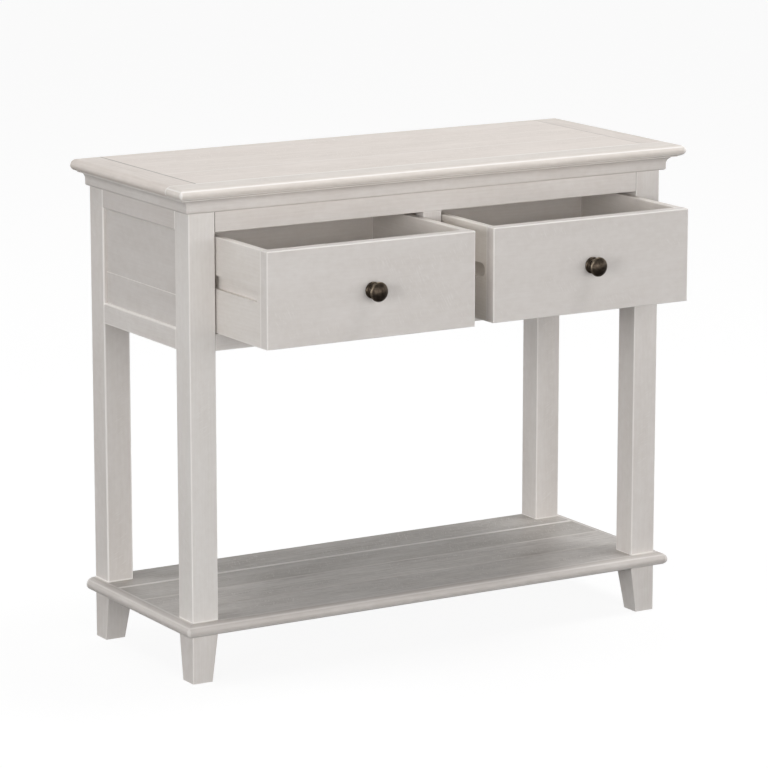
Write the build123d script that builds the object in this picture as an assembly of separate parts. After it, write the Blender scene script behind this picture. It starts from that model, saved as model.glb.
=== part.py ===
from build123d import *
from math import asin, degrees
import os

# Console table in whitewashed pine, with two drawers and a low shelf.
# Units are millimetres. X runs to the right, Y to the back, Z up, and the floor is z = 0.
# Boards are laid out about the middle of the case. The whole table is then moved along Y,
# so that the origin is at the bottom centre of its outline with both drawers pulled out.

# ---- Case ----
HEIGHT = 780.0
CASE_WIDTH = 865.0          # outside to outside of the legs
CASE_DEPTH = 332.5
LEG = 45.0                  # square leg stock
ARRIS = 1.5                 # eased edge on every visible board
FINE_ARRIS = 0.8            # eased edge where two boards meet flush
HALF_W = CASE_WIDTH / 2
HALF_D = CASE_DEPTH / 2
INNER_W = HALF_W - LEG      # inner face of a leg
INNER_D = HALF_D - LEG

# ---- Top ----
TOP_THICK = 18.0
TOP_SIDE_OVERHANG = 30.0
TOP_FRONT_OVERHANG = 32.0
TOP_BACK_OVERHANG = 6.5
TOP_ROUND = 11.0            # how far in the rounded edge starts
TOP_FRONT_BOARD = 50.0      # width of the board along the front
TOP_END_BOARD = 53.0        # width of the board across each end
TOP_INNER_COUNT = 3         # boards between the end boards
TOP_UNDER = HEIGHT - TOP_THICK

# ---- Cornice moulding under the top, as (distance out, height) ----
CORNICE_LOW = 738.0
CORNICE_BEAD = 7.5          # how far the lower bead stands out
CORNICE_BEAD_ROUND = 3.5
CORNICE_COVE = 12.0         # radius of the hollow
CORNICE_OUT = 21.0

# ---- Shelf and feet ----
FOOT_HEIGHT = 78.0
FOOT_TIP = 34.5             # foot width at the floor
SHELF_THICK = 20.0
SHELF_TOP = FOOT_HEIGHT + SHELF_THICK
SHELF_COUNT = 4
SHELF_NOSING = 16.5         # how far the nosing stands out past the legs
NOSING_FLAT = 4.0           # flat part on the nosing's top, next to the leg
NOSING_UNDER = 8.0          # flat part under it
NOSING_WIDEST = 10.5        # depth of the widest point below the top
SHELF_GROOVE = 1.2          # bevel that makes the V between two shelf boards

# ---- Rails ----
RAIL_THICK = 22.0
TOP_RAIL_LOW = 706.0
BOTTOM_RAIL_LOW = 522.5
BOTTOM_RAIL_HIGH = 548.5
SIDE_RAIL_HIGH = 555.0      # top of a lower side or back rail
DIVIDER = 33.0              # width of the upright between the drawers
CENTRE_RAIL_HEIGHT = 70.0
PANEL_THICK = 12.0
PANEL_SET_BACK = 6.0        # side panel behind the outside of the legs
PANEL_TONGUE = 6.0
PANEL_JOINT = 605.0         # height of the joint between the panel's two boards
PANEL_GROOVE = 1.0          # bevel at that joint
BACK_PANEL_THICK = 8.0

# ---- Drawers ----
DRAWER_WIDTH = 366.0
DRAWER_HEIGHT = 149.0
DRAWER_LENGTH = 298.0
DRAWER_LOW = 550.0
DRAWER_X = 202.0            # centre of a drawer from the middle of the case
DRAWER_FRONT = 20.0
DRAWER_SIDE = 12.5
DRAWER_BACK = 12.0
DRAWER_BOTTOM = 5.0
DRAWER_BOTTOM_LIFT = 8.0    # bottom panel above the drawer's lower edge
BOTTOM_TONGUE = 6.0
LEFT_PULL = 157.0           # how far the left drawer stands open
RIGHT_PULL = 149.5

# ---- Drawer runners, screwed inside the case, in a groove along each drawer side ----
GROOVE_HEIGHT = 21.4
GROOVE_DEPTH = 6.5
GROOVE_FRONT = 25.0         # groove's round end behind the face of the drawer
RUNNER_HEIGHT = 20.0
RUNNER_THICK = 8.0
RUNNER_FRONT = 26.5         # runner's front end behind the front of the case
RUNNER_Z = 629.0
RUNNER_LENGTH = 280.0

# ---- Knobs ----
KNOB_FLANGE_R = 13.2
KNOB_NECK_R = 7.0
KNOB_HEAD_R = 15.0
KNOB_FACE_R = 14.6          # where the rim ends and the dome starts
KNOB_RIM = 20.0             # height of the rim above the drawer front
KNOB_LENGTH = 25.0
KNOB_HOLE_R = 2.1
KNOB_BORE = 15.0            # depth of the screw's hole in the back of the knob

# ---- Fixings ----
SCREW_SHANK_R = 1.9
SCREW_HEAD_R = 3.8
SCREW_HEAD = 2.4
SCREW_ROOM = 0.15           # gap between a screw or dowel and its hole
RUNNER_SCREW = 28.0
TOP_SCREW = 36.0
TOP_SCREW_BITE = 13.0       # how far a top screw goes into the top
DOWEL_R = 4.0
DOWEL_LENGTH = 30.0
BOLT_R = 4.0
BOLT_IN_LEG = 45.0
BOLT_IN_FOOT = 50.0

BACK_Y = HALF_D + TOP_BACK_OVERHANG
FRONT_Y = -HALF_D - max(LEFT_PULL, RIGHT_PULL) - KNOB_LENGTH
ROW_SHIFT = -(BACK_Y + FRONT_Y) / 2
REACH = 80.0                # more than any moulding stands out


def block(x0, x1, y0, y1, z0, z1):
    """A square board between two corners."""
    return Pos((x0 + x1) / 2, (y0 + y1) / 2, (z0 + z1) / 2) * Box(x1 - x0, y1 - y0, z1 - z0)


def eased(board, axis, radius=ARRIS):
    """Rounds the board's edges that run along one axis."""
    return fillet(board.edges().filter_by(axis), radius)


def rod(start, direction, radius, length):
    """A round bar from a point, along a direction."""
    plane = Plane(origin=start, z_dir=direction)
    return extrude(plane * Circle(radius), amount=length)


def screw(tip, direction, length):
    """A countersunk wood screw whose head is flush at its start point."""
    plane = Plane(origin=tip, z_dir=direction)
    head = loft([plane * Circle(SCREW_HEAD_R), plane.offset(SCREW_HEAD) * Circle(SCREW_SHANK_R)])
    return head + rod(tip, direction, SCREW_SHANK_R, length)


def screw_hole(tip, direction, length):
    """The hole that a screw sits in, with a little room all round."""
    plane = Plane(origin=tip, z_dir=direction)
    wide = SCREW_HEAD_R + SCREW_ROOM
    narrow = SCREW_SHANK_R + SCREW_ROOM
    head = loft([plane * Circle(wide), plane.offset(SCREW_HEAD) * Circle(narrow)])
    return head + rod(tip, direction, narrow, length + 1)


def across(shape):
    """The same piece on the other side of the table."""
    return mirror(shape, about=Plane.YZ)


def prism(points):
    """An upright block of the given plan, taller than the table."""
    return extrude(make_face(Polyline(*points, close=True)), amount=HEIGHT * 2)


def strip(profile, outward, start, length):
    """A moulding: a profile in (distance out, height), carried along a wall."""
    outward = Vector(*outward)
    along = outward.cross(Vector(0, 0, 1))
    plane = Plane(origin=start, x_dir=outward, z_dir=along)
    return extrude(plane * profile, amount=length)


# ---- Fixing positions ----
def corners():
    """The middle of each leg: name, x and y."""
    middle_x = HALF_W - LEG / 2
    middle_y = HALF_D - LEG / 2
    return [
        ("front_left", -middle_x, -middle_y),
        ("front_right", middle_x, -middle_y),
        ("rear_left", -middle_x, middle_y),
        ("rear_right", middle_x, middle_y),
    ]


FRONT_RAIL_Y = -HALF_D + RAIL_THICK / 2
BACK_RAIL_Y = HALF_D - RAIL_THICK / 2
SIDE_RAIL_X = HALF_W - RAIL_THICK / 2
TOP_RAIL_Z = (TOP_RAIL_LOW + TOP_UNDER) / 2
FRONT_LOW_Z = (BOTTOM_RAIL_LOW + BOTTOM_RAIL_HIGH) / 2
SIDE_LOW_Z = (BOTTOM_RAIL_LOW + SIDE_RAIL_HIGH) / 2
DOWEL_STEP = 14.0           # half the spacing of two dowels in a deep rail


def dowel_places():
    """Where each rail joins a leg: centre of the dowel and its direction."""
    places = []
    for side in (-1, 1):
        for z in (TOP_RAIL_Z - DOWEL_STEP, TOP_RAIL_Z + DOWEL_STEP):
            places.append(((side * INNER_W, FRONT_RAIL_Y, z), (side, 0, 0)))
            places.append(((side * INNER_W, BACK_RAIL_Y, z), (side, 0, 0)))
        places.append(((side * INNER_W, FRONT_RAIL_Y, FRONT_LOW_Z), (side, 0, 0)))
        places.append(((side * INNER_W, BACK_RAIL_Y, SIDE_LOW_Z), (side, 0, 0)))
        for end in (-1, 1):
            for z in (TOP_RAIL_Z - DOWEL_STEP, TOP_RAIL_Z + DOWEL_STEP, SIDE_LOW_Z):
                places.append(((side * SIDE_RAIL_X, end * INNER_D, z), (0, end, 0)))
    for z, up in ((TOP_RAIL_LOW, 1), (BOTTOM_RAIL_HIGH, -1)):
        places.append(((0, FRONT_RAIL_Y, z), (0, 0, up)))
    return places


def dowel(place, direction, radius, length):
    """A dowel centred on a joint."""
    start = Vector(*place) - Vector(*direction) * (length / 2)
    return rod(start, direction, radius, length)


def drilled_for_dowels(board):
    """A rail or leg with the dowel holes that fall in it."""
    for place, direction in dowel_places():
        board -= dowel(place, direction, DOWEL_R + SCREW_ROOM, DOWEL_LENGTH + 1)
    return board


def rail_dowels():
    """All the dowels that hold the rails to the legs and the divider to its rails."""
    return [dowel(place, direction, DOWEL_R, DOWEL_LENGTH) for place, direction in dowel_places()]


def hanger_bolt(x, y, room=0.0):
    """A double-ended bolt that joins a foot, the shelf and a leg."""
    length = BOLT_IN_FOOT + SHELF_THICK + BOLT_IN_LEG
    start = (x, y, FOOT_HEIGHT - BOLT_IN_FOOT - room)
    return rod(start, (0, 0, 1), BOLT_R + room, length + 2 * room)


TOP_SCREW_XS = (-300.0, -100.0, 100.0, 300.0)


def top_screw_places():
    """Screws up through the front and back rails into the top: head position and direction."""
    start_z = TOP_UNDER + TOP_SCREW_BITE - TOP_SCREW
    return [((x, y, start_z), (0, 0, 1)) for x in TOP_SCREW_XS for y in (FRONT_RAIL_Y, BACK_RAIL_Y)]


def top_screw_well(place):
    """The counterbore under a rail that takes a top screw's head."""
    x, y, z = place
    return rod((x, y, TOP_RAIL_LOW - 1), (0, 0, 1), SCREW_HEAD_R + 1, z - TOP_RAIL_LOW + 1)


CENTRE_SCREW_SETS = {-1: (-95.0, 85.0), 1: (-70.0, 110.0)}


def runner_span():
    """The front and back ends of a runner."""
    front = -HALF_D + RUNNER_FRONT
    return front, front + RUNNER_LENGTH


def runner_screw_places():
    """Screws through the runners into the legs and the centre rail."""
    places = []
    for side in (-1, 1):
        for y in (-HALF_D + 0.8 * LEG, HALF_D - 0.8 * LEG):
            places.append(((side * (INNER_W - RUNNER_THICK), y, RUNNER_Z), (side, 0, 0)))
        for y in CENTRE_SCREW_SETS[side]:
            places.append(((side * (DIVIDER / 2 + RUNNER_THICK), y, RUNNER_Z), (-side, 0, 0)))
    return places


def drilled_for_runner_screws(board):
    """A leg, runner or centre rail with the runner screws' holes that fall in it."""
    for place, direction in runner_screw_places():
        board -= screw_hole(place, direction, RUNNER_SCREW)
    return board


# ---- Legs, feet and shelf ----
def side_panel_space(room):
    """The space of a left side panel with its tongues, as used for its grooves."""
    outer = -HALF_W + PANEL_SET_BACK
    tongue = PANEL_TONGUE + room
    return block(
        outer, outer + PANEL_THICK,
        -INNER_D - tongue, INNER_D + tongue,
        SIDE_RAIL_HIGH - tongue, TOP_RAIL_LOW + tongue,
    )


def back_panel_space(room):
    """The space of the back panel with its tongues."""
    tongue = PANEL_TONGUE + room
    middle = BACK_RAIL_Y
    return block(
        -INNER_W - tongue, INNER_W + tongue,
        middle - BACK_PANEL_THICK / 2, middle + BACK_PANEL_THICK / 2,
        SIDE_RAIL_HIGH - tongue, TOP_RAIL_LOW + tongue,
    )


def leg(x, y):
    """A square leg from the shelf to the top, with eased arrises, panel grooves and holes."""
    half = LEG / 2
    post = eased(block(x - half, x + half, y - half, y + half, SHELF_TOP, TOP_UNDER), Axis.Z)
    groove = side_panel_space(1)
    if x > 0:
        groove = across(groove)
    post -= groove
    if y > 0:
        post -= back_panel_space(1)
    post -= hanger_bolt(x, y, SCREW_ROOM)
    return drilled_for_runner_screws(drilled_for_dowels(post))


def foot(x, y):
    """A short foot: its two outer faces are upright, its two inner faces taper to the floor."""
    half = LEG / 2
    out_x = x + half if x > 0 else x - half
    out_y = y + half if y > 0 else y - half
    tip_x = out_x - FOOT_TIP / 2 if x > 0 else out_x + FOOT_TIP / 2
    tip_y = out_y - FOOT_TIP / 2 if y > 0 else out_y + FOOT_TIP / 2
    top = Pos(x, y, FOOT_HEIGHT) * RectangleRounded(LEG, LEG, ARRIS)
    tip = Pos(tip_x, tip_y, 0) * RectangleRounded(FOOT_TIP, FOOT_TIP, ARRIS)
    return loft([tip, top]) - hanger_bolt(x, y, SCREW_ROOM)


def shelf_board(index):
    """One of the shelf's edge-glued boards, with a small bevel along each joint."""
    width = CASE_DEPTH / SHELF_COUNT
    front = -HALF_D + index * width
    board = block(-HALF_W, HALF_W, front, front + width, FOOT_HEIGHT, SHELF_TOP)
    for y in (front, front + width):
        if abs(y) < HALF_D - 1:
            edge = board.edges().filter_by(Axis.X).filter_by_position(Axis.Y, y - 0.1, y + 0.1)
            board = chamfer(edge.sort_by(Axis.Z)[-1], SHELF_GROOVE)
    for _, x, y in corners():
        board -= hanger_bolt(x, y, SCREW_ROOM)
    return board


def nosing_profile():
    """Shelf nosing: flat beside the legs, a full round over the top, a tighter one below."""
    high = SHELF_TOP
    low = FOOT_HEIGHT
    tip = high - NOSING_WIDEST
    upper = EllipticalCenterArc(
        (NOSING_FLAT, tip), SHELF_NOSING - NOSING_FLAT, NOSING_WIDEST, 0, arc_size=90
    )
    lower = EllipticalCenterArc(
        (NOSING_UNDER, tip), SHELF_NOSING - NOSING_UNDER, tip - low, 270, arc_size=90
    )
    outline = [upper, lower]
    outline.append(Polyline((NOSING_FLAT, high), (0, high), (0, low), (NOSING_UNDER, low)))
    return make_face(outline)


def cornice_profile():
    """Cornice: a small bead, a hollow above it and a square lip under the top."""
    bead_top = TOP_UNDER - 1.5 - CORNICE_COVE
    lip = CORNICE_BEAD + CORNICE_COVE
    bead = RadiusArc(
        (CORNICE_BEAD - CORNICE_BEAD_ROUND, CORNICE_LOW),
        (CORNICE_BEAD, CORNICE_LOW + CORNICE_BEAD_ROUND),
        -CORNICE_BEAD_ROUND,
    )
    cove = CenterArc((lip, bead_top), CORNICE_COVE, 90, 90)
    rise = Line((CORNICE_BEAD, CORNICE_LOW + CORNICE_BEAD_ROUND), (CORNICE_BEAD, bead_top))
    rest = Polyline(
        (lip, bead_top + CORNICE_COVE),
        (CORNICE_OUT, bead_top + CORNICE_COVE),
        (CORNICE_OUT, TOP_UNDER),
        (0, TOP_UNDER),
        (0, CORNICE_LOW),
        (CORNICE_BEAD - CORNICE_BEAD_ROUND, CORNICE_LOW),
    )
    return make_face([bead, rise, cove, rest])


def front_strip(profile):
    """A moulding along the front, mitred at both corners."""
    wedge = prism([
        (-HALF_W, -HALF_D), (HALF_W, -HALF_D),
        (HALF_W + REACH, -HALF_D - REACH), (-HALF_W - REACH, -HALF_D - REACH),
    ])
    start = (HALF_W + REACH, -HALF_D, 0)
    return strip(profile, (0, -1, 0), start, CASE_WIDTH + 2 * REACH) & wedge


def left_strip(profile):
    """A moulding along the left side, mitred at the front and square at the back."""
    wedge = prism([
        (-HALF_W, -HALF_D), (-HALF_W - REACH, -HALF_D - REACH),
        (-HALF_W - REACH, HALF_D), (-HALF_W, HALF_D),
    ])
    start = (-HALF_W, -HALF_D - REACH, 0)
    return strip(profile, (-1, 0, 0), start, CASE_DEPTH + REACH) & wedge


# ---- Top ----
def top_slab():
    """The whole top's outline, with its front and end edges fully rounded."""
    low = TOP_UNDER
    half_thick = TOP_THICK / 2
    middle = low + half_thick
    front = -HALF_D - TOP_FRONT_OVERHANG
    side = HALF_W + TOP_SIDE_OVERHANG
    length_wise = Plane(origin=(-side, 0, 0), x_dir=(0, 1, 0), z_dir=(1, 0, 0))
    nose = EllipticalCenterArc(
        (front + TOP_ROUND, middle), TOP_ROUND, half_thick, 90, arc_size=180
    )
    body = Polyline(
        (front + TOP_ROUND, low), (BACK_Y, low), (BACK_Y, HEIGHT), (front + TOP_ROUND, HEIGHT)
    )
    front_round = extrude(length_wise * make_face([nose, body]), amount=2 * side)
    depth_wise = Plane(origin=(0, BACK_Y, 0), x_dir=(1, 0, 0), z_dir=(0, -1, 0))
    left_nose = EllipticalCenterArc(
        (-side + TOP_ROUND, middle), TOP_ROUND, half_thick, 90, arc_size=180
    )
    right_nose = EllipticalCenterArc(
        (side - TOP_ROUND, middle), TOP_ROUND, half_thick, -90, arc_size=180
    )
    under = Line((-side + TOP_ROUND, low), (side - TOP_ROUND, low))
    over = Line((-side + TOP_ROUND, HEIGHT), (side - TOP_ROUND, HEIGHT))
    ends_round = extrude(
        depth_wise * make_face([left_nose, right_nose, under, over]), amount=BACK_Y - front
    )
    return front_round & ends_round


def top_boards():
    """The top cut into its front board, its two end boards and the boards between them."""
    slab = top_slab()
    for place, direction in top_screw_places():
        slab -= rod(place, direction, SCREW_SHANK_R + SCREW_ROOM, TOP_SCREW + 1)
    low = TOP_UNDER - 1
    high = HEIGHT + 1
    side = HALF_W + TOP_SIDE_OVERHANG
    front = -HALF_D - TOP_FRONT_OVERHANG
    joint_y = front + TOP_FRONT_BOARD
    joint_x = side - TOP_END_BOARD
    boards = {"top_front_board": slab & block(-side, side, front, joint_y, low, high)}
    left_end = slab & block(-side, -joint_x, joint_y, BACK_Y, low, high)
    boards["top_left_end_board"] = left_end
    boards["top_right_end_board"] = across(left_end)
    width = (BACK_Y - joint_y) / TOP_INNER_COUNT
    for index in range(TOP_INNER_COUNT):
        y = joint_y + index * width
        name = f"top_inner_board_{index + 1}"
        boards[name] = slab & block(-joint_x, joint_x, y, y + width, low, high)
    return boards


# ---- Rails and panels ----
def front_top_rail():
    """The rail over the drawers, with holes for the screws that hold the top."""
    rail = block(-INNER_W, INNER_W, -HALF_D, -HALF_D + RAIL_THICK, TOP_RAIL_LOW, TOP_UNDER)
    edge = rail.edges().filter_by(Axis.X).sort_by(Axis.Z)[:2].sort_by(Axis.Y)[0]
    rail = fillet(edge, FINE_ARRIS)
    for place, direction in top_screw_places():
        rail -= top_screw_well(place)
        rail -= screw_hole(place, direction, TOP_SCREW)
    return drilled_for_dowels(rail)


def front_bottom_rail():
    """The rail under the drawers."""
    rail = block(
        -INNER_W, INNER_W, -HALF_D, -HALF_D + RAIL_THICK, BOTTOM_RAIL_LOW, BOTTOM_RAIL_HIGH
    )
    rail = fillet(rail.edges().filter_by(Axis.X).sort_by(Axis.Y)[:2], FINE_ARRIS)
    return drilled_for_dowels(rail)


def front_divider():
    """The upright between the two drawers."""
    half = DIVIDER / 2
    upright = block(-half, half, -HALF_D, -HALF_D + RAIL_THICK, BOTTOM_RAIL_HIGH, TOP_RAIL_LOW)
    upright = fillet(upright.edges().filter_by(Axis.Z).sort_by(Axis.Y)[:2], FINE_ARRIS)
    return drilled_for_dowels(upright)


def back_rail(low, high):
    """A rail between the rear legs, grooved for the back panel."""
    rail = block(-INNER_W, INNER_W, HALF_D - RAIL_THICK, HALF_D, low, high) - back_panel_space(1)
    for place, direction in top_screw_places():
        if high > TOP_RAIL_LOW:
            rail -= top_screw_well(place)
            rail -= screw_hole(place, direction, TOP_SCREW)
    return drilled_for_dowels(rail)


def left_side_rail(low, high):
    """A rail between the two left legs, with a bevel where it meets the panel."""
    outer = -HALF_W
    rail = block(outer, outer + RAIL_THICK, -INNER_D, INNER_D, low, high)
    panel_edge = high if high < TOP_RAIL_LOW else low
    edge = rail.edges().filter_by(Axis.Y).filter_by_position(Axis.Z, panel_edge - 1, panel_edge + 1)
    rail = chamfer(edge.sort_by(Axis.X)[0], 2 * ARRIS)
    return drilled_for_dowels(rail - side_panel_space(1))


def left_side_panel():
    """The left panel: two boards with a fine V joint, held in grooves all round."""
    space = side_panel_space(0)
    boards = []
    for low, high in ((0, PANEL_JOINT), (PANEL_JOINT, HEIGHT)):
        board = space & block(-HALF_W, 0, -HALF_D, HALF_D, low, high)
        at_joint = board.edges().filter_by(Axis.Y).filter_by_position(
            Axis.Z, PANEL_JOINT - 0.1, PANEL_JOINT + 0.1
        )
        boards.append(chamfer(at_joint.sort_by(Axis.X)[0], PANEL_GROOVE))
    return boards


# ---- Runners ----
def centre_rail():
    """The rail from the divider to the back panel that carries the two inner runners."""
    half = DIVIDER / 2
    front = -HALF_D + RAIL_THICK
    back = BACK_RAIL_Y - BACK_PANEL_THICK / 2
    low = RUNNER_Z - CENTRE_RAIL_HEIGHT / 2
    return drilled_for_runner_screws(block(-half, half, front, back, low, low + CENTRE_RAIL_HEIGHT))


def runner(inner_x, side):
    """A hardwood strip with a rounded front end; inner_x is the face it is screwed to."""
    front, back = runner_span()
    half = RUNNER_HEIGHT / 2
    outer_x = inner_x + side * RUNNER_THICK
    x0, x1 = sorted((inner_x, outer_x))
    bar = block(x0, x1, front, back, RUNNER_Z - half, RUNNER_Z + half)
    front_edges = bar.edges().filter_by(Axis.X).sort_by(Axis.Y)[:2]
    return drilled_for_runner_screws(fillet(front_edges, half - 0.5))


# ---- Drawers ----
def drawer_front(x, y):
    """The drawer's face board, with all its front edges eased, drilled for the knob."""
    half = DRAWER_WIDTH / 2
    high = DRAWER_LOW + DRAWER_HEIGHT
    board = block(x - half, x + half, y, y + DRAWER_FRONT, DRAWER_LOW, high)
    board = fillet(board.edges().sort_by(Axis.Y)[:4], ARRIS)
    board = fillet(board.edges().filter_by(Axis.X).sort_by(Axis.Z)[-1], FINE_ARRIS)
    board -= bottom_space(x, y, 0.5)
    return board - rod((x, y - 1, knob_height()), (0, 1, 0), KNOB_HOLE_R + 0.2, DRAWER_FRONT + 2)


def knob_height():
    """The middle of the drawer front."""
    return DRAWER_LOW + DRAWER_HEIGHT / 2


def bottom_space(x, y, room):
    """The drawer bottom with its tongues in the front and sides."""
    half = DRAWER_WIDTH / 2 - DRAWER_SIDE + BOTTOM_TONGUE + room
    low = DRAWER_LOW + DRAWER_BOTTOM_LIFT
    front = y + DRAWER_FRONT - BOTTOM_TONGUE - room
    return block(x - half, x + half, front, y + DRAWER_LENGTH, low, low + DRAWER_BOTTOM)


def drawer_side(x, y, side):
    """A drawer side with the runner's groove, which ends round behind the front."""
    outer = x + side * DRAWER_WIDTH / 2
    inner = outer - side * DRAWER_SIDE
    x0, x1 = sorted((outer, inner))
    high = DRAWER_LOW + DRAWER_HEIGHT
    board = block(x0, x1, y + DRAWER_FRONT, y + DRAWER_LENGTH, DRAWER_LOW, high)
    board = fillet(board.edges().filter_by(Axis.Y).sort_by(Axis.Z)[-2:], ARRIS)
    half = GROOVE_HEIGHT / 2
    g0, g1 = sorted((outer + side, outer - side * GROOVE_DEPTH))
    front = y + GROOVE_FRONT
    board -= block(g0, g1, front + half, y + DRAWER_LENGTH + 1, RUNNER_Z - half, RUNNER_Z + half)
    board -= rod((g0, front + half, RUNNER_Z), (1, 0, 0), half, g1 - g0)
    return board - bottom_space(x, y, 0.5)


def drawer_back(x, y):
    """The back between the sides, standing on the bottom panel."""
    half = DRAWER_WIDTH / 2 - DRAWER_SIDE
    low = DRAWER_LOW + DRAWER_BOTTOM_LIFT + DRAWER_BOTTOM
    high = DRAWER_LOW + DRAWER_HEIGHT
    back = y + DRAWER_LENGTH
    board = block(x - half, x + half, back - DRAWER_BACK, back, low, high)
    return fillet(board.edges().filter_by(Axis.X).sort_by(Axis.Z)[-2:], ARRIS)


def knob(x, y):
    """A turned knob: flange, ringed neck and a domed head with a fine rim, bored from behind."""
    bore = KNOB_HOLE_R + 0.1
    rise = KNOB_LENGTH - KNOB_RIM
    dome = (KNOB_FACE_R**2 + rise**2) / (2 * rise)
    sweep = degrees(asin(KNOB_FACE_R / dome))
    outline = [
        CenterArc((0, KNOB_LENGTH - dome), dome, 90 - sweep, sweep),
        Polyline(
            (0, KNOB_LENGTH), (0, KNOB_BORE), (bore, KNOB_BORE), (bore, 0),
            (KNOB_FLANGE_R, 0), (KNOB_FLANGE_R, 1.6),
        ),
        ThreePointArc((KNOB_FLANGE_R, 1.6), (12.4, 3.3), (10.6, 3.8)),
        Line((10.6, 3.8), (10.6, 5.0)),
        ThreePointArc((10.6, 5.0), (9.9, 6.4), (8.4, 6.8)),
        ThreePointArc((8.4, 6.8), (KNOB_NECK_R, 10.2), (8.6, 13.6)),
        ThreePointArc((8.6, 13.6), (11.6, 16.2), (KNOB_HEAD_R, 17.0)),
        ThreePointArc((KNOB_HEAD_R, 17.0), (KNOB_HEAD_R + 0.5, 18.6), (KNOB_FACE_R, KNOB_RIM)),
    ]
    turned = revolve(Plane.XZ * make_face(outline), Axis.Z)
    return Pos(x, y, knob_height()) * Rot(90, 0, 0) * turned


def knob_screw(x, y):
    """The machine screw from inside the drawer into the knob."""
    inside = y + DRAWER_FRONT
    shank = rod((x, inside + 0.5, knob_height()), (0, -1, 0), KNOB_HOLE_R - 0.1, DRAWER_FRONT + 12.0)
    head = rod((x, inside, knob_height()), (0, 1, 0), 4.2, 2.2)
    return shank + fillet(head.edges().sort_by(Axis.Y)[-1], 1.2)


def drawer(prefix, x, pull):
    """All the pieces of one drawer, standing open by the given distance."""
    y = -HALF_D - pull
    return {
        f"{prefix}_drawer_front": drawer_front(x, y),
        f"{prefix}_drawer_left_side": drawer_side(x, y, -1),
        f"{prefix}_drawer_right_side": drawer_side(x, y, 1),
        f"{prefix}_drawer_back": drawer_back(x, y),
        f"{prefix}_drawer_bottom": bottom_space(x, y, 0),
        f"{prefix}_drawer_knob": knob(x, y),
        f"{prefix}_drawer_knob_screw": knob_screw(x, y),
    }


# ---- The table ----
def case():
    """All the pieces of the case."""
    pieces = {}
    for name, x, y in corners():
        pieces[f"{name}_leg"] = leg(x, y)
        pieces[f"{name}_foot"] = foot(x, y)
    for index in range(SHELF_COUNT):
        pieces[f"shelf_board_{index + 1}"] = shelf_board(index)
    for kind, profile in (("shelf_nosing", nosing_profile()), ("cornice", cornice_profile())):
        side_piece = left_strip(profile)
        pieces[f"front_{kind}"] = front_strip(profile)
        pieces[f"left_{kind}"] = side_piece
        pieces[f"right_{kind}"] = across(side_piece)
    pieces.update(top_boards())
    pieces["front_top_rail"] = front_top_rail()
    pieces["front_bottom_rail"] = front_bottom_rail()
    pieces["front_divider"] = front_divider()
    pieces["back_top_rail"] = back_rail(TOP_RAIL_LOW, TOP_UNDER)
    pieces["back_bottom_rail"] = back_rail(BOTTOM_RAIL_LOW, SIDE_RAIL_HIGH)
    pieces["back_panel"] = back_panel_space(0)
    for level, low, high in (
        ("upper", TOP_RAIL_LOW, TOP_UNDER),
        ("lower", BOTTOM_RAIL_LOW, SIDE_RAIL_HIGH),
    ):
        rail = left_side_rail(low, high)
        pieces[f"left_{level}_side_rail"] = rail
        pieces[f"right_{level}_side_rail"] = across(rail)
    panel = left_side_panel()
    pieces["left_side_panel"] = panel
    pieces["right_side_panel"] = [across(board) for board in panel]
    pieces["centre_rail"] = centre_rail()
    pieces["left_outer_runner"] = runner(-INNER_W, 1)
    pieces["left_inner_runner"] = runner(-DIVIDER / 2, -1)
    pieces["right_inner_runner"] = runner(DIVIDER / 2, 1)
    pieces["right_outer_runner"] = runner(INNER_W, -1)
    pieces["runner_screws"] = [screw(p, d, RUNNER_SCREW) for p, d in runner_screw_places()]
    pieces["top_screws"] = [screw(p, d, TOP_SCREW) for p, d in top_screw_places()]
    pieces["rail_dowels"] = rail_dowels()
    pieces["hanger_bolts"] = [hanger_bolt(x, y) for _, x, y in corners()]
    return pieces


def save(name, piece):
    """Writes one node, moved into the table's own frame."""
    solids = piece if isinstance(piece, list) else [piece]
    solids = [solid for part in solids for solid in part.solids()]
    moved = [Pos(0, ROW_SHIFT, 0) * solid for solid in solids]
    shape = moved[0] if len(moved) == 1 else Compound(children=moved)
    export_step(shape, f"parts/{name}.step")


os.makedirs("parts", exist_ok=True)
table = case()
table.update(drawer("left", -DRAWER_X, LEFT_PULL))
table.update(drawer("right", DRAWER_X, RIGHT_PULL))
for node, shape in table.items():
    save(node, shape)
print(len(table), "nodes, moved along Y by", round(ROW_SHIFT, 3))
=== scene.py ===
import math

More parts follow.
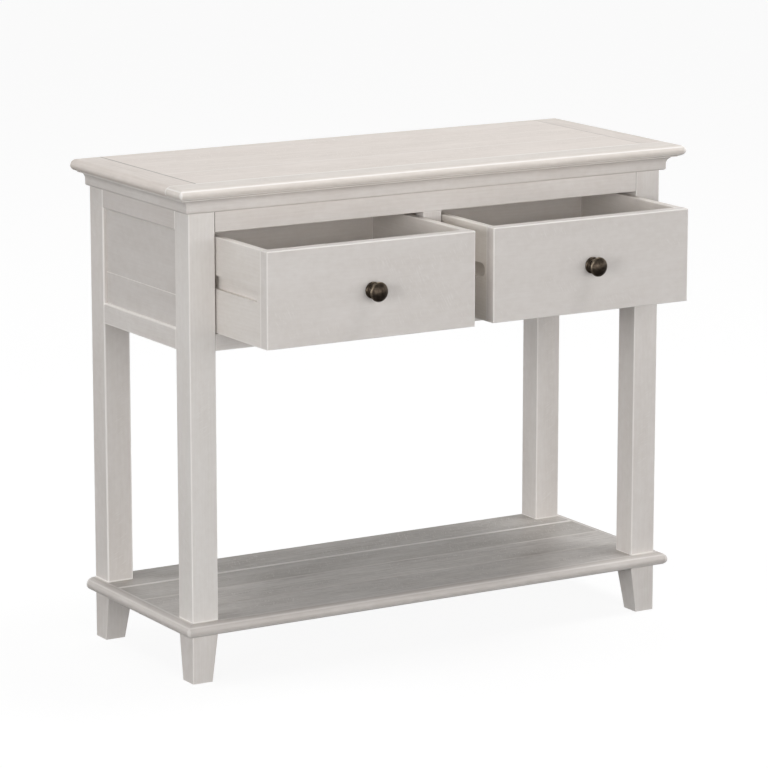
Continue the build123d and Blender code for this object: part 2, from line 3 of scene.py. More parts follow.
import bpy
import numpy as np
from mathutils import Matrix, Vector


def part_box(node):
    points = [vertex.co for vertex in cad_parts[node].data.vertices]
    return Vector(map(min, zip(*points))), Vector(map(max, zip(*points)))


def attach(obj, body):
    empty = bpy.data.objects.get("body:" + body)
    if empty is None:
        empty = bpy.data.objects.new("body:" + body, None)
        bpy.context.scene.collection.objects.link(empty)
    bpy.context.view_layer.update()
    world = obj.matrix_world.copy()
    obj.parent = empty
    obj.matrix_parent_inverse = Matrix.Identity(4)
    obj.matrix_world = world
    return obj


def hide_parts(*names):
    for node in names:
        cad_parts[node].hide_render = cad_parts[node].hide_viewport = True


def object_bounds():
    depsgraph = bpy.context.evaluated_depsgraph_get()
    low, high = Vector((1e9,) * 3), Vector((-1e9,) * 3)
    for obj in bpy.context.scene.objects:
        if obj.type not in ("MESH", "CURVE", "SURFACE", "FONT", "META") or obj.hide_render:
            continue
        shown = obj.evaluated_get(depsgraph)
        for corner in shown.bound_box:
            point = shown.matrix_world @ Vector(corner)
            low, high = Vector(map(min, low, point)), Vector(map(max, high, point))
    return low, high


# A whitewashed pine console table with two drawers, standing on a pale studio floor.
# Everything is in metres, in the table's own frame: X right, Y back, Z up, floor at z = 0.
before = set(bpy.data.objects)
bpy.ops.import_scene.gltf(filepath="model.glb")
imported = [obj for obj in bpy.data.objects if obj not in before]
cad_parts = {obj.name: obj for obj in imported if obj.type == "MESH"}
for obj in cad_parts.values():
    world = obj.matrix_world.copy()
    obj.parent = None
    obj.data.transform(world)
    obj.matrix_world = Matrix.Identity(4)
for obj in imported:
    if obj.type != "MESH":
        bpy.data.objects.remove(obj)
cad_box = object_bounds()
MM = 0.001


# ---------------------------------------------------------------- small helpers
def paint(code):
    """An sRGB hex colour as linear red, green, blue and alpha."""
    parts = [int(code[i:i + 2], 16) / 255 for i in (0, 2, 4)]
    linear = [p / 12.92 if p <= 0.04045 else ((p + 0.055) / 1.055) ** 2.4 for p in parts]
    return (*linear, 1.0)


def add(tree, kind, inputs=None, **settings):
    """Adds one node: its settings by name, and its inputs as values or as sockets to link."""
    made = tree.nodes.new("ShaderNode" + kind)
    for name, value in settings.items():
        setattr(made, name, value)
    for key, value in (inputs or {}).items():
        if isinstance(value, bpy.types.NodeSocket):
            tree.links.new(value, made.inputs[key])
        else:
            made.inputs[key].default_value = value
    return made


def new_material(name):
    """An empty node material with its tree, a surface shader and the shader's output joined."""
    material = bpy.data.materials.new(name)
    material.use_nodes = True
    tree = material.node_tree
    tree.nodes.clear()
    shader = add(tree, "BsdfPrincipled")
    add(tree, "OutputMaterial", {"Surface": shader.outputs["BSDF"]})
    return material, tree, shader


def dress(nodes, material):
    """Gives CAD nodes one material."""
    for name in nodes:
        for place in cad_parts[name].material_slots:
            place.material = material


# ---------------------------------------------------------------- whitewashed pine
# Sawn and brushed softwood under a nearly opaque, warm grey-white wash. The wash dries to a
# satin skin that hides most of the figure: growth rings and fibres show only as faint streaks,
# and a few pale strokes lie across the grain where the saw left ridges that the wash filled.
# Painted highlights brighten the eased edges and the lips of some joints; other joints are left open
# and dark, and one drawer side has painted shade in its groove.
GRAIN_TURN = {"X": (0, 0, 0), "Y": (0, 0, -math.pi / 2), "Z": (0, math.pi / 2, 0)}
RING_MM = 6.5            # width of a growth ring
FIBRE_MM = (70.0, 1.9, 1.9)      # a brushed fibre streak: its length, then its width
CLOUD_MM = (150.0, 38.0, 38.0)   # thick and thin places in the wash
DAB_MM = (13.0, 9.0, 9.0)        # mottle that the wash dries to
WANDER_MM = 24.0         # how far the rings wander along a board
KNOT_CELL_MM = (210.0, 105.0, 105.0)     # one possible knot in each cell of this size
KNOT_MM = 5.0            # radius of a knot
KNOT_FADE = (0.6, 1.5)   # its dark middle fades between these shares of its radius
KNOT_REACH = 7           # it bends the rings out to this many times its radius
KNOT_PUSH = 3.0          # and pushes them aside by this many rings
LATE_RISE = (0.2, 0.84)  # share of a ring's width over which its dark wood comes in
LATE_FALL = (0.88, 1.0)  # and over which it ends
STROKE_MM = (1.9, 15.0, 15.0)    # a saw stroke: its width, then its length
STROKE_LEAN = math.radians(34)   # how far saw strokes lean from straight across
STROKE_LEVEL = (0.56, 0.7)       # noise levels between which a stroke comes in
PATCH_LEVEL = (0.48, 0.6)        # and between which its patch does
RELIEF_MM = 0.12         # depth of the brushed texture
SLOW_MM = (310.0, 110.0, 110.0)  # size of the slow wander in the rings
THIN = 0.26              # how much wood shows through the wash everywhere
LATE_SHARE = 0.08        # and how much more in a dark ring
FIBRE_SHARE = 0.45       # in a fibre
CLOUD_SHARE = (0.5, 0.4)         # in a cloud, on every board and for each unit of contrast
DAB_SHARE = 0.45         # in the mottle
STROKE_SHARE = -0.6      # under a saw stroke, where the wash is thick
BEND_SHARE = 0.25        # round a knot
KNOT_SHARE = 0.55        # strength of a knot's dark middle
STROKE_FREE_MM = (8.0, 13.0)     # saw strokes come in between these depths from an edge
SATIN = (0.46, 0.56)     # roughness of the wash, from its smooth fibres to its open ones
LATE_RELIEF = 0.35       # height of a dark ring beside that of a fibre
STROKE_RELIEF = 0.5      # and of a saw stroke
RELIEF_STRENGTH = 0.45
EDGE_FULL = 0.75         # share of an edge's painted highlight band that is fully bright
SEAM_FADE = (0.6, 1.4)   # a joint's line fades between these shares of its half width
SEAM_BREAK = 1.5         # how much the clouds break a joint's line
WASH = "e1dcd8"
BARE = "cbc3bc"
HIGHLIGHT_COLOUR = "f3efeb"          # painted highlight on an edge or along a joint's lip
OPEN_JOINT_AND_SHADE = "8d857e"    # an unfilled, dark joint, and painted shade in one drawer side's groove
KNOT = "a2948a"
ARRIS_MM = 1.9           # how far in from its edges a board's painted highlight reaches


def pine(name, along, seed, box, wash=WASH, shade=BARE, knots=0.08, saw=0.0, contrast=1.0,
         arris=ARRIS_MM, highlight=0.6, seams=()):
    """Whitewashed pine with its grain along one axis. Each board's seed moves it in the log.

    The box is the board's own, or that of the slab it is part of; the painted highlight runs along its
    edges.
    Each seam is an axis number, a place on that axis, a half width in mm, and a tone: from -1 to 0 a
    dark line, which is an open joint and, in one drawer groove, painted shade; from 0 to 1 a painted
    highlight along the joint.
    """
    material, tree, shader = new_material(name)
    log = np.random.default_rng(seed)
    shift = log.uniform((-900, 30, 50), (900, 80, 130))
    shift[1:] *= log.choice((-1, 1), 2)
    place = add(tree, "TexCoord").outputs["Object"]
    board = add(tree, "Mapping", {
        "Vector": place, "Location": shift, "Rotation": GRAIN_TURN[along],
        "Scale": (1 / MM, 1 / MM, 1 / MM),
    }).outputs["Vector"]

    # Depth in from the two nearest faces of the box: it is small only along an edge.
    centre = (box[0] + box[1]) / 2
    reach = (box[1] - box[0]) / 2
    off = add(tree, "VectorMath", {0: place, 1: centre}, operation="SUBTRACT").outputs[0]
    off = add(tree, "VectorMath", {0: off}, operation="ABSOLUTE").outputs[0]
    depth = add(tree, "VectorMath", {0: reach, 1: off}, operation="SUBTRACT").outputs[0]
    depth = add(tree, "VectorMath", {0: depth, "Scale": 1 / MM}, operation="SCALE").outputs[0]
    depth = add(tree, "SeparateXYZ", {"Vector": depth}).outputs
    least = add(tree, "Math", {0: depth[0], 1: depth[1]}, operation="MINIMUM").outputs[0]
    most = add(tree, "Math", {0: depth[0], 1: depth[1]}, operation="MAXIMUM").outputs[0]
    most = add(tree, "Math", {0: most, 1: depth[2]}, operation="MINIMUM").outputs[0]
    second = add(tree, "Math", {0: least, 1: most}, operation="MAXIMUM").outputs[0]
    # Painted highlight: the board is lightened within its arris depth of an edge, by the highlight
    # share.
    edge_highlight = add(tree, "MapRange", {
        "Value": second, "From Min": EDGE_FULL * arris, "From Max": arris,
        "To Min": highlight, "To Max": 0.0,
    }, interpolation_type="SMOOTHSTEP").outputs[0]
    inner = add(tree, "MapRange", {
        "Value": second, "From Min": STROKE_FREE_MM[0], "From Max": STROKE_FREE_MM[1],
    }).outputs[0]

    # Knots: one possible knot in each cell of a stretched grid, and only a few are there.
    cells = add(tree, "VectorMath", {0: board, 1: KNOT_CELL_MM}, operation="DIVIDE").outputs[0]
    cell = add(tree, "TexVoronoi", {"Vector": cells, "Scale": 1.0, "Randomness": 0.85})
    chance = add(tree, "SeparateColor", {"Color": cell.outputs["Color"]}).outputs["Red"]
    there = add(tree, "Math", {0: chance, 1: knots}, operation="LESS_THAN").outputs[0]
    near = cell.outputs["Distance"]
    near = add(tree, "Math", {0: near, 1: KNOT_CELL_MM[1]}, operation="MULTIPLY").outputs[0]
    bend = add(tree, "MapRange", {
        "Value": near, "From Min": 0.0, "From Max": KNOT_REACH * KNOT_MM, "To Min": 1.0, "To Max": 0.0,
    }, interpolation_type="SMOOTHERSTEP").outputs[0]
    bend = add(tree, "Math", {0: bend, 1: there}, operation="MULTIPLY").outputs[0]
    core = add(tree, "MapRange", {
        "Value": near, "From Min": KNOT_FADE[0] * KNOT_MM, "From Max": KNOT_FADE[1] * KNOT_MM,
        "To Min": 1.0, "To Max": 0.0,
    }, interpolation_type="SMOOTHSTEP").outputs[0]
    core = add(tree, "Math", {0: core, 1: there}, operation="MULTIPLY").outputs[0]

    # Rings: distance from the heart of the log, wandering along the board and bent by knots.
    slow = add(tree, "VectorMath", {0: board, 1: SLOW_MM}, operation="DIVIDE").outputs[0]
    wander = add(tree, "TexNoise", {
        "Vector": slow, "Scale": 1.0, "Detail": 3.0, "Roughness": 0.5,
    }).outputs["Color"]
    wander = add(tree, "VectorMath", {0: wander, 1: (0.5, 0.5, 0.5)}, operation="SUBTRACT").outputs[0]
    wander = add(tree, "VectorMath", {0: wander, "Scale": 2 * WANDER_MM}, operation="SCALE").outputs[0]
    heart = add(tree, "VectorMath", {0: board, 1: wander}, operation="ADD").outputs[0]
    across = add(tree, "VectorMath", {0: heart, 1: (0.0, 1.0, 1.0)}, operation="MULTIPLY").outputs[0]
    radius = add(tree, "VectorMath", {0: across}, operation="LENGTH").outputs["Value"]
    radius = add(tree, "Math", {
        0: bend, 1: KNOT_PUSH * RING_MM, 2: radius,
    }, operation="MULTIPLY_ADD").outputs[0]
    ring = add(tree, "Math", {0: radius, 1: RING_MM}, operation="DIVIDE").outputs[0]
    turn = add(tree, "Math", {0: ring}, operation="FRACT").outputs[0]
    rise = add(tree, "MapRange", {
        "Value": turn, "From Min": LATE_RISE[0], "From Max": LATE_RISE[1],
    }, interpolation_type="SMOOTHSTEP").outputs[0]
    fall = add(tree, "MapRange", {
        "Value": turn, "From Min": LATE_FALL[0], "From Max": LATE_FALL[1],
        "To Min": 1.0, "To Max": 0.0,
    }, interpolation_type="SMOOTHSTEP").outputs[0]
    late = add(tree, "Math", {0: rise, 1: fall}, operation="MULTIPLY").outputs[0]

    # Fibres, clouds in the wash and its dried mottle, from noise stretched to their real sizes.
    fibres = add(tree, "VectorMath", {0: board, 1: FIBRE_MM}, operation="DIVIDE").outputs[0]
    fibre = add(tree, "TexNoise", {
        "Vector": fibres, "Scale": 1.0, "Detail": 3.0, "Roughness": 0.65,
    }).outputs["Fac"]
    clouds = add(tree, "VectorMath", {0: board, 1: CLOUD_MM}, operation="DIVIDE").outputs[0]
    cloud = add(tree, "TexNoise", {
        "Vector": clouds, "Scale": 1.0, "Detail": 4.0, "Roughness": 0.55,
    }).outputs["Fac"]
    dabs = add(tree, "VectorMath", {0: board, 1: DAB_MM}, operation="DIVIDE").outputs[0]
    dab = add(tree, "TexNoise", {
        "Vector": dabs, "Scale": 1.0, "Detail": 2.0, "Roughness": 0.5,
    }).outputs["Fac"]

    # Saw strokes: thin pale lines that lean across the grain, in patches, away from the edges.
    leaning = add(tree, "VectorRotate", {
        "Vector": board, "Axis": (0, 1, 1), "Angle": STROKE_LEAN,
    }, rotation_type="AXIS_ANGLE").outputs[0]
    strokes = add(tree, "VectorMath", {0: leaning, 1: STROKE_MM}, operation="DIVIDE").outputs[0]
    stroke = add(tree, "TexNoise", {
        "Vector": strokes, "Scale": 1.0, "Detail": 1.0, "Roughness": 0.5,
    }).outputs["Fac"]
    stroke = add(tree, "MapRange", {
        "Value": stroke, "From Min": STROKE_LEVEL[0], "From Max": STROKE_LEVEL[1],
        "To Min": 0.0, "To Max": saw,
    }, interpolation_type="SMOOTHSTEP").outputs[0]
    patch = add(tree, "MapRange", {
        "Value": cloud, "From Min": PATCH_LEVEL[0], "From Max": PATCH_LEVEL[1],
    }, interpolation_type="SMOOTHSTEP").outputs[0]
    patch = add(tree, "Math", {0: patch, 1: inner}, operation="MULTIPLY").outputs[0]
    stroke = add(tree, "Math", {0: stroke, 1: patch}, operation="MULTIPLY").outputs[0]

    # How much wood shows through the wash, from none to all.
    fibre_part = add(tree, "Math", {0: fibre, 1: 0.5}, operation="SUBTRACT").outputs[0]
    cloud_part = add(tree, "Math", {0: cloud, 1: 0.5}, operation="SUBTRACT").outputs[0]
    dab_part = add(tree, "Math", {0: dab, 1: 0.5}, operation="SUBTRACT").outputs[0]
    show = THIN
    shares = (
        (late, LATE_SHARE * contrast), (fibre_part, FIBRE_SHARE * contrast),
        (cloud_part, CLOUD_SHARE[0] + CLOUD_SHARE[1] * contrast),
        (dab_part, DAB_SHARE), (stroke, STROKE_SHARE),
    )
    for part, share in shares:
        show = add(tree, "Math", {0: part, 1: share, 2: show}, operation="MULTIPLY_ADD").outputs[0]
    show = add(tree, "Math", {
        0: bend, 1: BEND_SHARE, 2: show,
    }, operation="MULTIPLY_ADD", use_clamp=True).outputs[0]
    colour = add(tree, "Mix", {0: show, 6: paint(wash), 7: paint(shade)}, data_type="RGBA").outputs[2]
    knot = add(tree, "Math", {0: core, 1: KNOT_SHARE}, operation="MULTIPLY").outputs[0]
    colour = add(tree, "Mix", {0: knot, 6: colour, 7: paint(KNOT)}, data_type="RGBA").outputs[2]

    # Painted highlights on the edges, then the joint lines, which are painted highlights, dark open
    # joints and painted shade, a little broken by the clouds.
    colour = add(tree, "Mix", {0: edge_highlight, 6: colour, 7: paint(HIGHLIGHT_COLOUR)}, data_type="RGBA").outputs[2]
    spot = add(tree, "SeparateXYZ", {"Vector": place}).outputs
    broken = add(tree, "Math", {
        0: cloud_part, 1: SEAM_BREAK, 2: 1.0,
    }, operation="MULTIPLY_ADD").outputs[0]
    for number, at, half, tone in seams:
        gap = add(tree, "Math", {0: spot[number], 1: at}, operation="SUBTRACT").outputs[0]
        gap = add(tree, "Math", {0: gap}, operation="ABSOLUTE").outputs[0]
        line = add(tree, "MapRange", {
            "Value": gap,
            "From Min": SEAM_FADE[0] * half * MM, "From Max": SEAM_FADE[1] * half * MM,
            "To Min": abs(tone), "To Max": 0.0,
        }).outputs[0]
        line = add(tree, "Math", {
            0: line, 1: broken,
        }, operation="MULTIPLY", use_clamp=True).outputs[0]
        seam_colour = paint(HIGHLIGHT_COLOUR if tone > 0 else OPEN_JOINT_AND_SHADE)
        colour = add(tree, "Mix", {0: line, 6: colour, 7: seam_colour}, data_type="RGBA").outputs[2]
    tree.links.new(colour, shader.inputs["Base Color"])

    rough = add(tree, "MapRange", {
        "Value": fibre, "From Min": 0.3, "From Max": 0.7, "To Min": SATIN[0], "To Max": SATIN[1],
    }).outputs[0]
    tree.links.new(rough, shader.inputs["Roughness"])
    height = fibre
    for part, share in ((late, LATE_RELIEF), (stroke, STROKE_RELIEF)):
        height = add(tree, "Math", {0: part, 1: share, 2: height}, operation="MULTIPLY_ADD").outputs[0]
    bump = add(tree, "Bump", {
        "Height": height, "Distance": RELIEF_MM * MM, "Strength": RELIEF_STRENGTH,
    })
    tree.links.new(bump.outputs["Normal"], shader.inputs["Normal"])
    return material


GRAIN = {
    "X": ["shelf_board_1", "shelf_board_2", "shelf_board_3", "shelf_board_4",
          "front_shelf_nosing", "front_cornice", "top_front_board",
          "top_inner_board_1", "top_inner_board_2", "top_inner_board_3",
          "front_top_rail", "front_bottom_rail", "back_top_rail", "back_bottom_rail",
          "back_panel", "left_drawer_front", "right_drawer_front",
          "left_drawer_back", "right_drawer_back", "left_drawer_bottom", "right_drawer_bottom"],
    "Y": ["left_shelf_nosing", "right_shelf_nosing", "left_cornice", "right_cornice",
          "top_left_end_board", "top_right_end_board",
          "left_upper_side_rail", "left_lower_side_rail", "right_upper_side_rail",
          "right_lower_side_rail", "left_side_panel", "right_side_panel",
          "left_drawer_left_side", "left_drawer_right_side",
          "right_drawer_left_side", "right_drawer_right_side", "centre_rail"],
    "Z": ["front_left_leg", "front_right_leg", "rear_left_leg", "rear_right_leg",
          "front_left_foot", "front_right_foot", "rear_left_foot", "rear_right_foot",
          "front_divider"],
}
PANEL_JOINT = 0.605      # height of the joint between the two boards of a side panel
NOSE_MM = 4.4            # painted highlight band round the top's rounded rim, as a depth into its box
GROOVE_DEPTH = 0.0065    # depth of the runner's groove in a drawer side


def box_of(first, last=None):
    """The lowest corner of one node's box and the highest corner of another's, as arrays."""
    return np.array(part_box(first)[0]), np.array(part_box(last or first)[1])


slab = (np.minimum(box_of("top_front_board")[0], box_of("top_left_end_board")[0]),
        np.maximum(box_of("top_right_end_board")[1], box_of("top_inner_board_3")[1]))
inner_boards = box_of("top_inner_board_1", "top_inner_board_3")
# Top joints: the first two are dark open joints beside the end boards, and the last two are painted
# highlights along the front boards' joints.
top_seams = [
    (0, inner_boards[0][0], 1.2, -1.0), (0, inner_boards[1][0], 1.0, -0.55),
    (1, inner_boards[0][1], 2.2, 0.8), (1, box_of("top_inner_board_1")[1][1], 1.8, 0.4),
]
# Shelf joints: painted highlights along the lips of the board joints.
shelf_seams = [
    (1, box_of("shelf_board_1")[1][1], 1.5, 0.3), (1, box_of("shelf_board_2")[1][1], 2.2, 0.5),
    (1, box_of("shelf_board_3")[1][1], 4.0, 1.0),
]
shelf_looks = {"knots": 0.14, "saw": 0.55, "contrast": 1.8, "highlight": 0.0, "seams": shelf_seams}
rim_looks = {"box": slab, "arris": NOSE_MM}
leg_looks = {"saw": 0.4, "contrast": 0.7}


def finish_of(board):
    """What one board's finish has beyond the plain wash: its painted highlights, and on some boards a
    lighter or darker wash that is painted light and painted shade.
    """
    low, high = box_of(board)
    # The two rear shelf boards have a darker wash: painted shade under the case.
    if board in ("shelf_board_3", "shelf_board_4"):
        return {**shelf_looks, "wash": "d5d0cb", "shade": "a0988f"}
    if board.startswith("shelf_board"):
        return {**shelf_looks, "wash": "e2ddd8", "shade": "aba39c"}
    # Top front board: a strong painted highlight round its rounded nose.
    if board == "top_front_board":
        return {**rim_looks, "highlight": 0.9, "knots": 0.10, "saw": 0.35, "contrast": 1.3,
                "wash": "e5ded7", "shade": "cfc6be", "seams": top_seams[2:3]}
    if board.endswith("end_board"):
        return {**rim_looks, "highlight": 0.1, "knots": 0.14, "saw": 0.45, "contrast": 1.4,
                "wash": "e2d9d2", "shade": "cac0b7", "seams": top_seams[:2]}
    if board.startswith("top_"):
        return {"box": slab, "highlight": 0.0, "knots": 0.12, "saw": 0.5, "contrast": 1.0,
                "wash": "e6ddd6", "shade": "cfc5bc", "seams": top_seams}
    # Side panels: a darker wash as painted shade under the cornice, with painted highlights along the
    # joint and top edge.
    if board.endswith("side_panel"):
        return {"highlight": 0.0, "contrast": 0.6, "wash": "d6d1cd", "shade": "c2bab4",
                "seams": [(2, PANEL_JOINT, 0.9, 0.5), (2, high[2], 1.5, 0.6)]}
    if board.endswith("drawer_front"):
        return {"knots": 0.0, "contrast": 0.4, "saw": 0.4, "highlight": 0.7}
    # Painted shade: the floor of this drawer side's runner groove alone is darkened.
    if board.startswith("right_drawer_left"):
        return {"highlight": 0.5, "wash": "e8e3dc", "shade": "d6cec4",
                "seams": [(0, low[0] + GROOVE_DEPTH, 1.2, -0.4)]}
    if board.startswith(("left_drawer_", "right_drawer_")):
        return {"highlight": 0.5, "wash": "e6e1dc", "shade": "d4ccc4"}
    # Front left leg: a lighter wash as painted light, and a strong painted highlight on its edges.
    if board == "front_left_leg":
        return {**leg_looks, "highlight": 0.8, "wash": "e6e2de", "shade": "d2cbc5"}
    # Rear left leg: a wider, full-strength painted highlight on its edges.
    if board == "rear_left_leg":
        return {**leg_looks, "arris": 2.6, "highlight": 1.0}
    if board.endswith("_leg"):
        return {**leg_looks, "highlight": 0.7}
    # Shelf nosings: a darker wash as painted shade on their lower faces, with a painted highlight on
    # their edges.
    if board.endswith("shelf_nosing"):
        return {"arris": 5.0, "highlight": 0.5, "wash": "d8d2cd", "shade": "c0b8b1"}
    if board == "front_top_rail":
        return {"highlight": 0.0, "seams": [(0, low[0], 0.9, -0.7), (0, high[0], 0.9, -0.7)]}
    # Upper side rails: a darker wash as painted shade under the overhang, with painted highlights
    # along their edges.
    if board.endswith("upper_side_rail"):
        return {"highlight": 0.6, "wash": "d9d3cf",
                "seams": [(1, low[1], 1.2, 0.6), (1, high[1], 1.2, 0.6), (2, low[2], 1.8, 0.8)]}
    # Lower side rails: painted highlights along the top ledge and the ends.
    if board.endswith("lower_side_rail"):
        return {"highlight": 0.6,
                "seams": [(2, high[2], 2.0, 1.0), (1, low[1], 1.2, 0.5), (1, high[1], 1.2, 0.5)]}
    # Cornices: a darker wash as painted shade under the top's nosing.
    if board.endswith("_cornice"):
        return {"highlight": 0.3, "wash": "dbd6d2", "shade": "c6beb7"}
    if board.endswith("_rail"):
        return {"highlight": 0.5}
    return {"highlight": 0.3}


seed = 10
for axis, names in GRAIN.items():
    for board_name in names:
        seed += 1
        looks = {"box": box_of(board_name), **finish_of(board_name)}
        dress([board_name], pine("whitewashed_pine_" + board_name, axis, seed, **looks))


# ---------------------------------------------------------------- other finishes
BEECH_FLECK = (1 / (2 * MM), 1 / (14 * MM), 1 / (2 * MM))    # flecks 2 mm wide and 14 mm long


def planed_beech():
    """Bare planed beech, as used for runners and dowels: warm tan with short dark flecks."""
    material, tree, shader = new_material("planed_beech")
    place = add(tree, "TexCoord").outputs["Object"]
    flecks = add(tree, "Mapping", {"Vector": place, "Scale": BEECH_FLECK}).outputs[0]
    fleck = add(tree, "TexNoise", {"Vector": flecks, "Scale": 1.0, "Detail": 3.0}).outputs["Fac"]
    colour = add(tree, "Mix", {0: fleck, 6: paint("cdb08c"), 7: paint("b8966c")}, data_type="RGBA")
    tree.links.new(colour.outputs[2], shader.inputs["Base Color"])
    shader.inputs["Roughness"].default_value = 0.6
    return material


def zinc_plate():
    """Bright zinc on steel screws: pale grey metal with a fine mottle."""
    material, tree, shader = new_material("zinc_plate")
    place = add(tree, "TexCoord").outputs["Object"]
    mottle = add(tree, "TexNoise", {"Vector": place, "Scale": 900.0, "Detail": 2.0}).outputs["Fac"]
    rough = add(tree, "MapRange", {"Value": mottle, "To Min": 0.28, "To Max": 0.45}).outputs[0]
    shader.inputs["Base Color"].default_value = paint("c9cac8")
    shader.inputs["Metallic"].default_value = 1.0
    tree.links.new(rough, shader.inputs["Roughness"])
    return material


def antique_brass():
    """Cast and turned brass under a near-black olive patina, rubbed thin on its rims and crown."""
    material, tree, shader = new_material("antique_brass")
    place = add(tree, "TexCoord").outputs["Object"]
    cloud = add(tree, "TexNoise", {
        "Vector": place, "Scale": 220.0, "Detail": 4.0, "Roughness": 0.6,
    }).outputs["Fac"]
    rub = add(tree, "Attribute", attribute_name="rub").outputs["Fac"]
    bare = add(tree, "Math", {0: cloud, 1: 0.5}, operation="SUBTRACT").outputs[0]
    bare = add(tree, "Math", {
        0: bare, 1: 0.7, 2: rub,
    }, operation="MULTIPLY_ADD", use_clamp=True).outputs[0]
    colour = add(tree, "Mix", {0: bare, 6: paint("433a32"), 7: paint("998c7a")}, data_type="RGBA")
    tree.links.new(colour.outputs[2], shader.inputs["Base Color"])
    rough = add(tree, "MapRange", {"Value": bare, "To Min": 0.44, "To Max": 0.26}).outputs[0]
    tree.links.new(rough, shader.inputs["Roughness"])
    shader.inputs["Metallic"].default_value = 1.0
    return material


# Heights out from the drawer front and radii of the turned knob, in mm, with a rub for each:
# flange, step, ring, waist, flare under the head, rim, fine groove and crown.
KNOB_TURNING = (
    (0.0, 13.2, 0.0), (2.2, 13.2, 0.2), (3.6, 11.4, 0.1), (3.8, 10.5, 0.0), (5.2, 10.5, 0.2),
    (6.7, 9.4, 0.0), (6.9, 7.8, 0.0), (10.4, 6.9, 0.0), (13.4, 7.9, 0.0), (15.6, 11.2, 0.05),
    (16.8, 14.6, 0.1), (17.6, 15.5, 0.3), (19.2, 15.5, 0.45), (20.2, 14.6, 0.6), (20.4, 13.6, 0.1),
    (22.4, 10.6, 0.05), (24.2, 6.2, 0.08), (25.0, 2.0, 0.08), (25.0, 0.0, 0.08),
)
KNOB_STEPS = 7           # rows of faces along each cut of the turning
KNOB_TURNS = 72          # columns round the axis
KNOB_INSET = 0.05        # keeps the turned surface inside its own box, in mm
KNOB_AXIS = 1.0          # nearer to the axis than this, in mm, there is no inset


def turned_knob(name, node, body):
    """A knob turned on the axis that runs out of the drawer front.

    Each corner of the turning is rounded by the curve (1-t)^2 a + 2t(1-t) b + t^2 c, where b is
    the corner and a and c are the middles of its two cuts. A point at angle w round the axis is
    the axis point plus its radius times (cos w, sin w).
    """
    low_corner, high_corner = (np.array(v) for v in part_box(node))
    centre = (low_corner + high_corner) / 2
    cut = np.array(KNOB_TURNING)
    middle_of_cut = (cut[:-1] + cut[1:]) / 2
    before = np.vstack([cut[:1], middle_of_cut])[:-1]
    t = np.linspace(0, 1, KNOB_STEPS, endpoint=False)[None, :, None]
    corner = cut[:-1][:, None]
    before, after = before[:, None], middle_of_cut[:, None]
    line = ((1 - t) ** 2 * before + 2 * t * (1 - t) * corner + t ** 2 * after).reshape(-1, 3)
    line = np.vstack([line, cut[-1:]])
    out, radius, rub = line[:-1].T
    w = np.linspace(0, 2 * math.pi, KNOB_TURNS, endpoint=False)
    reach = MM * (radius[:, None] - KNOB_INSET * (radius[:, None] > KNOB_AXIS))
    x = centre[0] + reach * np.cos(w)
    z = centre[2] + reach * np.sin(w)
    y = np.broadcast_to(high_corner[1] - MM * out[:, None], x.shape)
    points = np.stack([x, y, z], -1).reshape(-1, 3)
    crown_at = (centre[0], high_corner[1] - MM * line[-1, 0], centre[2])
    foot_at = (centre[0], high_corner[1], centre[2])
    points = np.vstack([points, crown_at, foot_at])
    rows, columns = len(out), KNOB_TURNS
    at = np.arange(rows * columns).reshape(rows, columns)
    nxt = np.roll(at, -1, 1)
    quads = np.stack([at[:-1], nxt[:-1], nxt[1:], at[1:]], -1).reshape(-1, 4)
    crown, foot = rows * columns, rows * columns + 1
    caps = np.vstack([
        np.stack([at[-1], nxt[-1], np.full(columns, crown)], -1),
        np.stack([nxt[0], at[0], np.full(columns, foot)], -1),
    ])
    mesh = bpy.data.meshes.new(name)
    mesh.from_pydata(points.tolist(), [], quads.tolist() + caps.tolist())
    mesh.polygons.foreach_set("use_smooth", np.ones(len(mesh.polygons), bool))
    worn = mesh.attributes.new("rub", "FLOAT", "POINT")
    worn.data.foreach_set("value", np.concatenate([np.repeat(rub, columns), [line[-1, 2], 0]]))
    mesh.materials.append(brass)
    mesh.update()
    knob = bpy.data.objects.new(name, mesh)
    bpy.context.scene.collection.objects.link(knob)
    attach(knob, body)
    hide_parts(node)


dress(["left_outer_runner", "left_inner_runner", "right_inner_runner", "right_outer_runner",
       "rail_dowels"], planed_beech())
dress(["runner_screws", "top_screws", "hanger_bolts",
       "left_drawer_knob_screw", "right_drawer_knob_screw"], zinc_plate())
brass = antique_brass()
turned_knob("left_turned_knob", "left_drawer_knob", "left_drawer")
turned_knob("right_turned_knob", "right_drawer_knob", "right_drawer")


# ---------------------------------------------------------------- floor, light and camera
FLOOR_SIZE = 60.0
FLOOR_GLOW = 0.9
FLOOR_GREY = "606060"
BOUNCE = 0.096            # brightness that the floor gives back to the table
HORIZON = 2.46            # brightness of the studio wall at floor level
HORIZON_FOOT = 0.1        # sine of the elevation at which the wall starts to fade
HORIZON_TOP = 0.4         # and at which it has faded out
SOFTBOXES = (
    # name, azimuth, elevation, distance, width and power of each
    ("key_softbox", -62, 8, 5.0, 1.6, 52.0),
    ("front_softbox", -5, 5, 6.0, 3.0, 79.0),
    ("right_overhead_softbox", 62, 66, 4.0, 1.4, 68.0),
    ("left_overhead_softbox", -100, 63, 4.0, 1.3, 31.0),
    ("rear_overhead_softbox", 160, 50, 5.0, 4.0, 31.0),
)

near_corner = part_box("front_left_leg")[0]
far_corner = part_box("rear_right_leg")[1]
middle = Vector(((near_corner.x + far_corner.x) / 2, (near_corner.y + far_corner.y) / 2,
                 cad_box[1][2] / 2))


def direction(azimuth, elevation):
    """The unit vector from the table towards a viewer at these angles, in degrees."""
    a = math.radians(azimuth)
    e = math.radians(elevation)
    return Vector((math.sin(a) * math.cos(e), -math.cos(a) * math.cos(e), math.sin(e)))


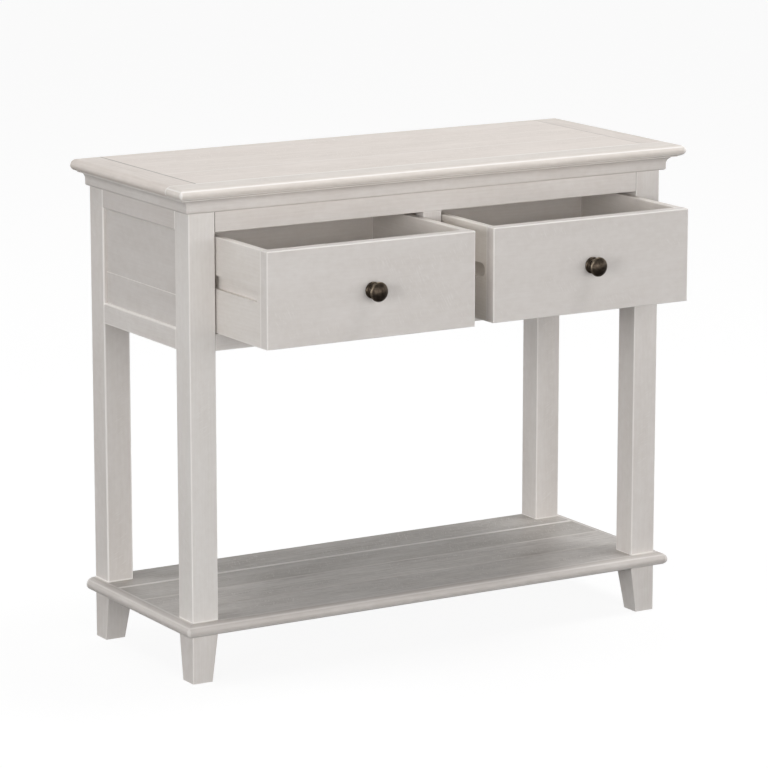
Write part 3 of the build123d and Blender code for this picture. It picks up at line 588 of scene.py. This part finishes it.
def floor():
    """A wide floor lit to a pale white, only to be seen: its bounce comes from the studio wall."""
    half = FLOOR_SIZE / 2
    corners = [(-half, -half, 0), (half, -half, 0), (half, half, 0), (-half, half, 0)]
    mesh = bpy.data.meshes.new("studio_floor")
    mesh.from_pydata(corners, [], [(0, 1, 2, 3)])
    piece = bpy.data.objects.new("studio_floor", mesh)
    bpy.context.scene.collection.objects.link(piece)
    material, tree, shader = new_material("lit_white_floor")
    shader.inputs["Base Color"].default_value = paint(FLOOR_GREY)
    shader.inputs["Roughness"].default_value = 1.0
    shader.inputs["Emission Color"].default_value = (1, 1, 1, 1)
    shader.inputs["Emission Strength"].default_value = FLOOR_GLOW
    mesh.materials.append(material)
    piece.visible_diffuse = False
    piece.visible_glossy = False
    piece.visible_shadow = False


def softbox(name, azimuth, elevation, distance, size, power):
    """A square studio light that faces the middle of the table and is not itself seen."""
    light = bpy.data.lights.new(name, "AREA")
    light.shape = "SQUARE"
    light.size = size
    light.energy = power
    lamp = bpy.data.objects.new(name, light)
    bpy.context.scene.collection.objects.link(lamp)
    away = direction(azimuth, elevation)
    lamp.location = middle + away * distance
    lamp.rotation_euler = away.to_track_quat("Z", "Y").to_euler()
    lamp.visible_camera = False


floor()
for box in SOFTBOXES:
    softbox(*box)

world = bpy.data.worlds.new("white_studio")
bpy.context.scene.world = world
world.use_nodes = True
world.node_tree.nodes.clear()
compass = add(world.node_tree, "TexCoord").outputs["Generated"]
climb = add(world.node_tree, "SeparateXYZ", {"Vector": compass}).outputs["Z"]
wall = add(world.node_tree, "MapRange", {
    "Value": climb, "From Min": HORIZON_FOOT, "From Max": HORIZON_TOP,
    "To Min": HORIZON, "To Max": 0.0,
}).outputs[0]
above = add(world.node_tree, "Math", {0: climb, 1: 0.0}, operation="GREATER_THAN").outputs[0]
strength = add(world.node_tree, "Mix", {"Factor": above, "A": BOUNCE, "B": wall}).outputs[0]
sky = add(world.node_tree, "Background", {"Color": (1, 1, 1, 1), "Strength": strength})
add(world.node_tree, "OutputWorld", {"Surface": sky.outputs[0]})
bpy.context.scene.view_settings.view_transform = "Standard"

VIEW_AZIMUTH = -30.92
VIEW_ELEVATION = 11.92
VIEW_DISTANCE = 6.16
VIEW_LENS = 178.1           # on a 36 mm sensor
VIEW_RIGHT = 0.0096         # the aim, beside and above the middle of the case
VIEW_UP = 0.0089

camera = bpy.data.cameras.new("studio_camera")
camera.lens = VIEW_LENS
camera.sensor_width = 36.0
camera.clip_end = 100.0
viewer = bpy.data.objects.new("studio_camera", camera)
bpy.context.scene.collection.objects.link(viewer)
back = direction(VIEW_AZIMUTH, VIEW_ELEVATION)
turn = back.to_track_quat("Z", "Y")
aim = middle + turn @ Vector((VIEW_RIGHT, VIEW_UP, 0))
viewer.location = aim + back * VIEW_DISTANCE
viewer.rotation_euler = turn.to_euler()
bpy.context.scene.camera = viewer
